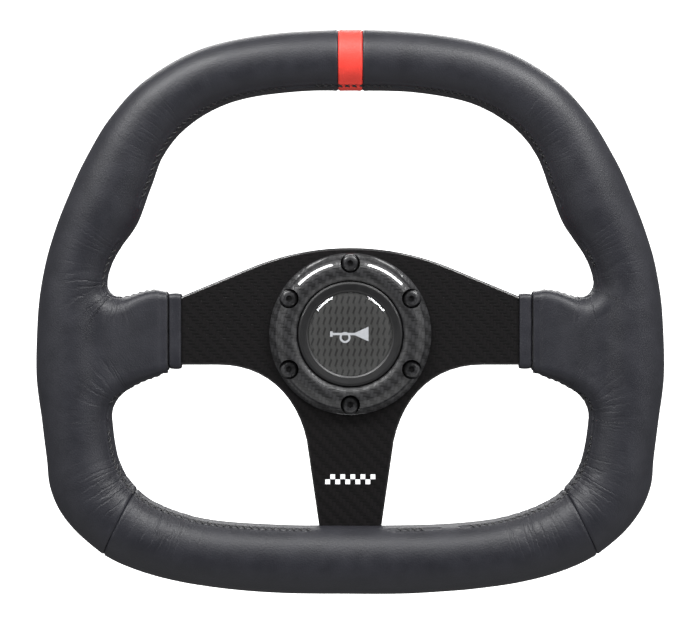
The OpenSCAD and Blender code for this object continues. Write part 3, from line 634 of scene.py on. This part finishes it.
# Seams: lines of finer faces where panels meet, at the lower corners, beside the red strip
# and along the inner edges. The sleeves' ends are opened for the spokes.
SEAM_OFFSETS = (0, -0.45, 0.45, -1.0, 1.0, -1.7, 1.7)
# Each cross seam: a point it passes through and the direction square to it, as [x, up].
STRIP_HALF = 6.0
STRIP_SEAMS = [(np.array([side * STRIP_HALF, 135.5]), np.array([1.0, 0.0])) for side in (-1, 1)]
CORNER_SEAMS = [(np.array([side * 115.2, -94.9]), np.array([side * 0.893, 0.451])) for side in (-1, 1)]
work = bmesh.new()
work.from_mesh(hide)


def score(sheet, spot, normal, reach, keep):
    """Cuts finer faces into a bmesh on both sides of a plane, near a spot."""
    near = Vector(to_space(np.array([spot]))[0])
    for offset in SEAM_OFFSETS:
        plane_spot = near + normal * offset * MM
        cut = [
            f for f in sheet.faces
            if abs((f.calc_center_median() - plane_spot).dot(normal)) < 2.5 * MM
            and (f.calc_center_median() - near).length < reach * MM and keep(f)
        ]
        edges = dict.fromkeys(e for f in cut for e in f.edges)
        verts = dict.fromkeys(v for f in cut for v in f.verts)
        around = cut + list(edges) + list(verts)
        bmesh.ops.bisect_plane(sheet, geom=around, dist=0.02 * MM, plane_co=plane_spot, plane_no=normal)


for seam_mid, seam_way in STRIP_SEAMS + CORNER_SEAMS:
    score(work, (*seam_mid, RIM_U), Vector((seam_way[0], 0, seam_way[1])), 30, lambda f: True)


def faces_a_window(face):
    """True for a face that looks into one of the wheel's windows."""
    spot = face.calc_center_median()
    arm = Vector((spot.x, spot.z))
    way = Vector((face.normal.x, face.normal.z))
    if abs(face.normal.y) > 0.75:
        return False
    outer = arm.length > 125 * MM and way.dot(arm) > 0
    return not (outer or way.dot(arm.normalized()) > 0.55 and arm.length > 100 * MM)


# The laced seam runs a little to the driver's side of the middle, and along a sleeve's edge.
SEAM_LIFT = 6.5


def shift_to_seam(sheet, way):
    """Moves points along the column so that the seam's curved surface becomes a flat one."""
    for vert in sheet.verts:
        x, z = abs(vert.co.x) / MM, abs(vert.co.z) / MM
        sleeve = min(max((124 - x) / 16, 0), 1) * min(max((36 - z) / 12, 0), 1)
        sleeve *= sleeve * (3 - 2 * sleeve)
        vert.co.y += way * (SEAM_LIFT * (1 - sleeve) - 2 * sleeve) * MM


shift_to_seam(work, 1)
score(work, (0, 0, RIM_U), Vector((0, 1, 0)), 400, faces_a_window)
ends = []
for face in work.faces:
    spot = face.calc_center_median() / MM
    if BOOT_END - 2 < abs(spot.x) < BOOT_END + 0.5 and abs(spot.z) < 26:
        ends.append(face)
bmesh.ops.delete(work, geom=ends, context="FACES")

# The seam's path round each window, traced along the cut at the rim's middle plane.
seam_edges = dict.fromkeys(
    e for e in work.edges
    if all(abs(v.co.y + RIM_U * MM) < 0.03 * MM for v in e.verts)
    and any(faces_a_window(f) for f in e.link_faces)
)
seam_paths = []
while seam_edges:
    edge = next(iter(seam_edges))
    del seam_edges[edge]
    path = [edge.verts[0], edge.verts[1]]
    for _ in range(2):
        path.reverse()
        while True:
            onward = [e for e in path[-1].link_edges if e in seam_edges]
            if not onward:
                break
            del seam_edges[onward[0]]
            path.append(onward[0].other_vert(path[-1]))
    if len(path) > 30:
        seam_paths.append(path)
shift_to_seam(work, -1)
seam_paths = [from_space(np.array([v.co for v in path])) for path in seam_paths]
work.to_mesh(hide)
work.free()

# The same paths as evenly spaced points, with the length along each one.
PATH_STEP = 0.5
path_points, path_lengths = [], []
for path in seam_paths:
    run = np.concatenate([[0], np.cumsum(np.linalg.norm(np.diff(path, axis=0), axis=1))])
    even = np.arange(0, run[-1], PATH_STEP)
    smooth = np.stack([np.interp(even, run, path[:, k]) for k in range(3)], axis=1)
    for k in range(3):
        smooth[4:-4, k] = np.convolve(smooth[:, k], np.ones(9) / 9, "valid")
    path_points.append(smooth)
    path_lengths.append(even)
all_points = np.concatenate(path_points)
all_lengths = np.concatenate(path_lengths)
path_tree, flat_tree = KDTree(len(all_points)), KDTree(len(all_points))
for i, spot in enumerate(all_points):
    path_tree.insert(spot, i)
    flat_tree.insert((spot[0], spot[1], 0), i)
path_tree.balance()
flat_tree.balance()

spots = from_space(read_points(hide))
outward = from_space(read_points(hide, normals=True)) * MM
nearest = [path_tree.find(p) for p in spots]
seam_gap = np.array([found[2] for found in nearest])
seam_length = all_lengths[[found[1] for found in nearest]]
flat_at = np.array([flat_tree.find((p[0], p[1], 0))[1] for p in spots])
seam_spot = all_points[flat_at]
flat_gap = np.linalg.norm(spots[:, :2] - seam_spot[:, :2], axis=1)
reach, height = np.abs(spots[:, 0]), spots[:, 1]


def bell_at(value, middle, width):
    """1 at the middle, fading to 0 on both sides."""
    return np.exp(-(((value - middle) / width) ** 2))


# Where the hide had to be gathered: round the thumb lobes, in the lower corners, at the
# sleeves' roots. Each is a place on the seam [x, up], how strong and how wide the gather is.
GATHERS = [
    (117, 24, 1.0, 12), (114, 44, 0.5, 16), (111, -72, 1.0, 13),
    (88, -88, 1.0, 13), (116, -30, 0.6, 14), (84, 99, 0.35, 26),
]
seam_x, seam_z = np.abs(seam_spot[:, 0]), seam_spot[:, 1]
gathers = np.maximum.reduce([
    strength * bell_at(np.hypot(seam_x - x, seam_z - z), 0, width) for x, z, strength, width in GATHERS
])
gathers *= np.clip(seam_gap / 3, 0, 1) * np.clip((24 - flat_gap) / 14, 0, 1)
between_windows = np.clip(np.abs(height + 2) / 12, 0, 1) ** 2
gathers *= np.where((reach > 80) & (np.abs(height) < 12), between_windows, 1)
gathers *= 1 - 0.6 * np.clip((114 - reach) / 10, 0, 1) * (np.abs(height) < 24)


def folds(at, out):
    """Long soft creases, 0 to 1: at is the nearest place on the seam and out how far from it."""
    value = np.array([noise.noise((p[0] / 5.2, p[1] / 5.2, o / 26)) for p, o in zip(at, out)])
    return np.clip(1 - np.abs(value) / 0.22, 0, 1) ** 2


def seam_dip(gap, groove, roll):
    """A sewn seam's section: a groove with rounded edges beside it."""
    return -groove * bell_at(gap, 0, 0.45) + roll * bell_at(gap, 1.5, 0.8)


STITCH_PITCH = 3.4
lift = -0.35 * gathers * folds(seam_spot, flat_gap)
pull = 0.75 + 0.25 * np.cos(2 * np.pi * seam_length / STITCH_PITCH)
behind_stem = (np.abs(seam_spot[:, 0]) < 20) & (seam_spot[:, 1] < -88)
lift += np.where(behind_stem, 0, seam_dip(seam_gap, 0.6, 0.35 * pull))
for seam_mid, seam_way in STRIP_SEAMS + CORNER_SEAMS:
    gap = np.abs((spots[:, :2] - seam_mid) @ seam_way)
    near = np.linalg.norm(spots[:, :2] - seam_mid, axis=1) < 30
    lift += np.where(near, seam_dip(gap, 0.5, 0.12), 0)
# The hand-pulled hide is never quite even.
lift += 0.22 * np.array([noise.noise(Vector(p) / 21) for p in spots])
# A crease where each sleeve leaves its hem.
lift += np.where(np.abs(height) < 26, -0.35 * bell_at(reach, BOOT_END + 3.2, 1.1), 0)
write_points(hide, to_space(spots + outward * lift[:, None]))

# What the shader needs at each point: length along the seam, distance from it, gathering.
tuck = hide.attributes.new("tuck", "FLOAT_VECTOR", "POINT")
tuck_at = np.column_stack([all_lengths[flat_at], np.zeros(len(spots)), flat_gap])
tuck.data.foreach_set("vector", tuck_at.ravel())
hide.attributes.new("gathering", "FLOAT", "POINT").data.foreach_set("value", gathers)


CREASE_PITCH = 1.9


def hide_finish(name, dark, light, roughness):
    """Corrected-grain leather: fine pebbled grain, creases across the gathers, a light sheen."""
    finish = Finish(name, specular_ior_level=0.42)
    share = finish.attribute("gathering", out=2)
    at_seam = finish.attribute("tuck")
    wander = at_seam.stretch(0.12, 1, 0.06).noise(1.0, 2)
    wave = (at_seam.part(0) * (2 * math.pi / CREASE_PITCH) + wander * 11).maths("SINE")
    patches = at_seam.stretch(0.4, 1, 0.05).noise(1.0, 2).band(0.38, 0.6)
    creases = wave.band(-0.1, 1.0) * patches * share
    pebbles = finish.place.cells(1.15)
    cloudy = finish.place.noise(0.09, 4, 0.6)
    pores = finish.place.noise(2.6, 3, 0.65)
    finish.set(base_color=(cloudy.band(0.3, 0.7) * 0.7 + pores * 0.3).blend(dark, light))
    finish.set(roughness=roughness + (cloudy - 0.5) * 0.16 + (pores - 0.5) * 0.12 + creases * 0.06)
    return finish.bump(0.5 - creases * 0.36 + pebbles * 0.12 + pores * 0.08, 0.5)


black_hide = hide_finish("black_leather", (0.0095, 0.0098, 0.0132), (0.0155, 0.0158, 0.0205), 0.46)
red_hide = hide_finish("red_leather", (0.6, 0.038, 0.026), (0.72, 0.05, 0.036), 0.5)

# Each panel is the part of the hide between its seams, 1.2 mm thick.
HIDE_T = 1.2


def panel_of(spot):
    """Which panel a point [x, up, u] of the hide belongs to."""
    if spot[1] > 100 and abs(spot[0]) < STRIP_HALF:
        return "strip"
    seam_mid, seam_way = CORNER_SEAMS[spot[0] > 0]
    if spot[1] < -60 and (spot[:2] - seam_mid) @ seam_way < 0:
        return "bottom"
    return "right" if spot[0] > 0 else "left"


def panel(name, part, finish, node):
    """One panel of the hide, which stands for a CAD node."""
    work = bmesh.new()
    work.from_mesh(hide)
    middles = from_space(np.array([f.calc_center_median() for f in work.faces]))
    away = [f for f, middle in zip(work.faces, middles) if panel_of(middle) != part]
    bmesh.ops.delete(work, geom=away, context="FACES")
    for face in work.faces:
        face.smooth = True
    mesh = bpy.data.meshes.new(name)
    work.to_mesh(mesh)
    work.free()
    piece = place(name, mesh, (0, 0, 0))
    skin = piece.modifiers.new("thickness", "SOLIDIFY")
    skin.thickness = HIDE_T * MM
    skin.offset = -1
    finish.paint(piece)
    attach(piece, "wheel")
    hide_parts(node)


panel("hide_right", "right", black_hide, "leather_right")
panel("hide_left", "left", black_hide, "leather_left")
panel("hide_bottom", "bottom", black_hide, "leather_bottom")
panel("hide_strip", "strip", red_hide, "centre_mark")


# ---- Lacing -------------------------------------------------------------------------------
# Black waxed thread, cross-stitched over the meeting edges round the inside of each window.
THREAD_R = 0.36
THREAD_SIDES = 6
STITCH_WIDTH = 3.1
normal_tree = KDTree(len(spots))
for i, spot in enumerate(spots):
    normal_tree.insert(spot, i)
normal_tree.balance()
lacing = bmesh.new()


def tube(sheet, line, radius, sides):
    """Adds a round thread along a line of points [x, up, u], with closed ends."""
    steps = np.gradient(line, axis=0)
    steps /= np.linalg.norm(steps, axis=1)[:, None]
    loops = []
    for spot, way in zip(line, steps):
        one = np.cross(way, (0.31, 0.53, 0.79))
        one /= np.linalg.norm(one)
        two = np.cross(way, one)
        angles = np.arange(sides) * 2 * np.pi / sides
        ring = spot + radius * (np.cos(angles)[:, None] * one + np.sin(angles)[:, None] * two)
        loops.append([sheet.verts.new(p) for p in to_space(ring)])
    for one, two in zip(loops, loops[1:]):
        for j in range(sides):
            face = sheet.faces.new([one[j], one[(j + 1) % sides], two[(j + 1) % sides], two[j]])
            face.smooth = True
    sheet.faces.new(loops[0])
    sheet.faces.new(loops[-1])


for points in path_points:
    way = np.gradient(points, axis=0)
    way /= np.linalg.norm(way, axis=1)[:, None]
    per_stitch = int(round(STITCH_PITCH / PATH_STEP))
    for start in range(8, len(points) - per_stitch - 8, per_stitch):
        here = points[start]
        if abs(here[0]) < 21.5 and here[1] < -88:
            continue
        out_way = outward[normal_tree.find(here)[1]]
        side_way = np.cross(way[start], out_way)
        side_way /= np.linalg.norm(side_way)
        for hand in (-1, 1):
            line = []
            for t in np.linspace(0, 1, 7):
                base = points[start + int(round(t * (per_stitch - 1)))]
                over = math.sin(math.pi * t) * (0.42 + 0.12 * hand) - 0.25
                line.append(base + side_way * (hand * (t - 0.5) * STITCH_WIDTH) + out_way * over)
            tube(lacing, np.array(line), THREAD_R, THREAD_SIDES)
bmesh.ops.recalc_face_normals(lacing, faces=lacing.faces)
lacing_mesh = bpy.data.meshes.new("lacing")
lacing.to_mesh(lacing_mesh)
lacing.free()
thread = place("lacing", lacing_mesh, (0, 0, 0))
waxed = Finish("waxed_thread", specular_ior_level=0.5)
strands = waxed.place.stretch(2.2, 2.2, 2.2).noise(1.0, 2, 0.6)
waxed.set(base_color=strands.blend((0.008, 0.008, 0.009), (0.03, 0.03, 0.032)))
waxed.set(roughness=0.42 + strands * 0.2)
waxed.bump(strands, 0.12).paint(thread)
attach(thread, "wheel")
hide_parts("seam_thread")


# ---- Sleeve hems --------------------------------------------------------------------------
# A folded strip of leather closes each sleeve's end, glued round the spoke with its edges
# turned under. The lower end leans a little towards the hub.
HEM_START = 84.15
HEM_HIGH = (20.1, -17.4)
HEM_T = 8.9
HEM_R = 2.6
HEM_LEAN = 0.035
HEM_TURN_STEPS = 8
HEM_GAP = 1.2
hem_middle = sum(PLATE_U) / 2
loop = []
half_h, half_t = (HEM_HIGH[0] - HEM_HIGH[1]) / 2, HEM_T / 2
for corner, (cz, cu) in enumerate([(1, 1), (-1, 1), (-1, -1), (1, -1)]):
    for step in range(HEM_TURN_STEPS + 1):
        angle = math.pi / 2 * (corner + step / HEM_TURN_STEPS)
        nz, nt = math.cos(angle), math.sin(angle)
        loop.append((cz * (half_h - HEM_R) + HEM_R * nz, cu * (half_t - HEM_R) + HEM_R * nt, nz, nt))
# Straight runs get points of their own so that they can sag.
full_loop = []
for one, two in zip(loop, loop[1:] + loop[:1]):
    full_loop.append(one)
    gap = math.hypot(two[0] - one[0], two[1] - one[1])
    for extra in range(1, int(gap // HEM_GAP)):
        share = extra / (gap // HEM_GAP)
        full_loop.append(tuple(a * (1 - share) + b * share for a, b in zip(one, two)))
# The strip's section: along the spoke, and how far it stands in from the outer face.
hem_section = [
    (0.0, 1.3), (0.0, 0.75), (0.12, 0.38), (0.4, 0.12), (0.9, 0.0), (1.9, -0.12), (2.9, -0.16), (3.9, -0.1),
    (5.0, 0.02), (5.7, 0.16), (6.1, 0.42), (6.3, 0.8), (6.3, 1.3), (2.85, 1.35),
]
for side, name, node in [(-1, "hem_left", "boot_band_left"), (1, "hem_right", "boot_band_right")]:
    hem = bmesh.new()
    rings = []
    for z, t, nz, nt in full_loop:
        ring = []
        for along, inset in hem_section:
            sag = noise.noise((z / 7, t / 5, side * 3 + along / 9)) * 0.22
            up = sum(HEM_HIGH) / 2 + z - nz * (inset - sag)
            lean = max(HEM_LEAN * (z - half_h) * (1 if along < 5 else 0.4), -0.05)
            ring.append((side * (HEM_START + along + lean), up, hem_middle + t - nt * (inset - sag)))
        rings.append([hem.verts.new(p) for p in to_space(np.array(ring))])
    count = len(hem_section)
    for one, two in zip(rings, rings[1:] + rings[:1]):
        for j in range(count):
            hem.faces.new([one[j], one[(j + 1) % count], two[(j + 1) % count], two[j]]).smooth = True
    bmesh.ops.recalc_face_normals(hem, faces=hem.faces)
    hem_mesh = bpy.data.meshes.new(name)
    hem.to_mesh(hem_mesh)
    hem.free()
    strip = place(name, hem_mesh, (0, 0, 0))
    black_hide.paint(strip)
    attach(strip, "wheel")
    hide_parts(node)


# ---- Horn ring and button -----------------------------------------------------------------
# A clear-coated carbon ring under six black socket screws, the moulded housing and springs
# in its bore, and a gloss black button with a woven disc under a clear dome.
coil("horn_springs", "horn_coils")
carbon_cloth(
    "ring_carbon", 1.7, (0, 2), (0.0015, 0.0015, 0.0017), (0.03, 0.03, 0.0315), 0.1,
    coat_weight=1.0, coat_roughness=0.02, coat_ior=1.6, specular_ior_level=0.3,
).paint("horn_ring")
oxide = Finish("black_oxide", coat_weight=0.6, coat_roughness=0.12, specular_ior_level=0.7)
rubbed = oxide.place.noise(0.9, 3, 0.6)
oxide.set(base_color=rubbed.band(0.35, 0.75).blend((0.01, 0.01, 0.011), (0.03, 0.03, 0.032)))
oxide.set(roughness=0.24 + rubbed * 0.2)
oxide.bump(rubbed, 0.02).paint("ring_bolts")
moulded_plastic("housing_nylon", (0.012, 0.012, 0.013), 0.42, 1.6, 0.03).paint("horn_housing")
gloss = Finish("gloss_black", coat_weight=0.35, coat_roughness=0.12, specular_ior_level=0.6)
orange_peel = gloss.place.noise(0.35, 2, 0.5)
gloss.set(base_color=orange_peel.blend((0.004, 0.004, 0.0045), (0.007, 0.007, 0.0075)))
gloss.set(roughness=0.38 + orange_peel * 0.1)
gloss.bump(orange_peel, 0.01).paint("button_cap")
# The disc's coarse herringbone: rows of dark ticks that lean one way and then the other.
TICK_PITCH = 2.95
ROW_PITCH = 5.2
TOW_GREY = (0.042, 0.042, 0.041)
TICK_BLACK = (0.002, 0.002, 0.002)
disc = Finish("disc_weave", specular_ior_level=0.5)
row = disc.place.part(2) / ROW_PITCH
lean = row.maths("PINGPONG", 0.5) * 0.62
tick_at = (disc.place.part(0) / TICK_PITCH - lean).maths("FRACT")
row_at = (row + 0.25).maths("FRACT")
tick = 1 - (tick_at - 0.5).maths("ABSOLUTE").band(0.1, 0.24)
tick = tick * (1 - (row_at - 0.5).maths("ABSOLUTE").band(0.25, 0.45) * 0.75)
fibres = disc.place.stretch(7, 1, 0.8).noise(1.0, 2)
disc.set(base_color=(tick * 0.9 + (fibres - 0.5) * 0.35).blend(TOW_GREY, TICK_BLACK))
disc.set(roughness=0.32 + tick * 0.2)
disc.bump(1 - tick * 0.7 + fibres * 0.2, 0.1).paint("button_insert")
printed_ink("silver_ink", (0.36, 0.37, 0.39)).paint("button_emblem")

# Clear resin: mostly see-through, with a sharp reflection off its surface.
resin = Finish("clear_resin", roughness=0.03, metallic=1.0)
ripple = resin.place.noise(0.05, 2, 0.5)
resin.set(base_color=ripple.blend((0.9, 0.92, 0.94), (0.96, 0.97, 0.98)))
resin.bump(ripple, 0.05)
see_through = resin.start.node("BsdfTransparent")
gleam = Wire(resin.tree, resin.shader.outputs[0])
shine = resin.start.node("MixShader", sockets={0: ripple * 0.02 + 0.04, 1: see_through, 2: gleam})
resin.start.feed(resin.tree.nodes["Material Output"].inputs["Surface"], shine)
resin.paint("button_dome")
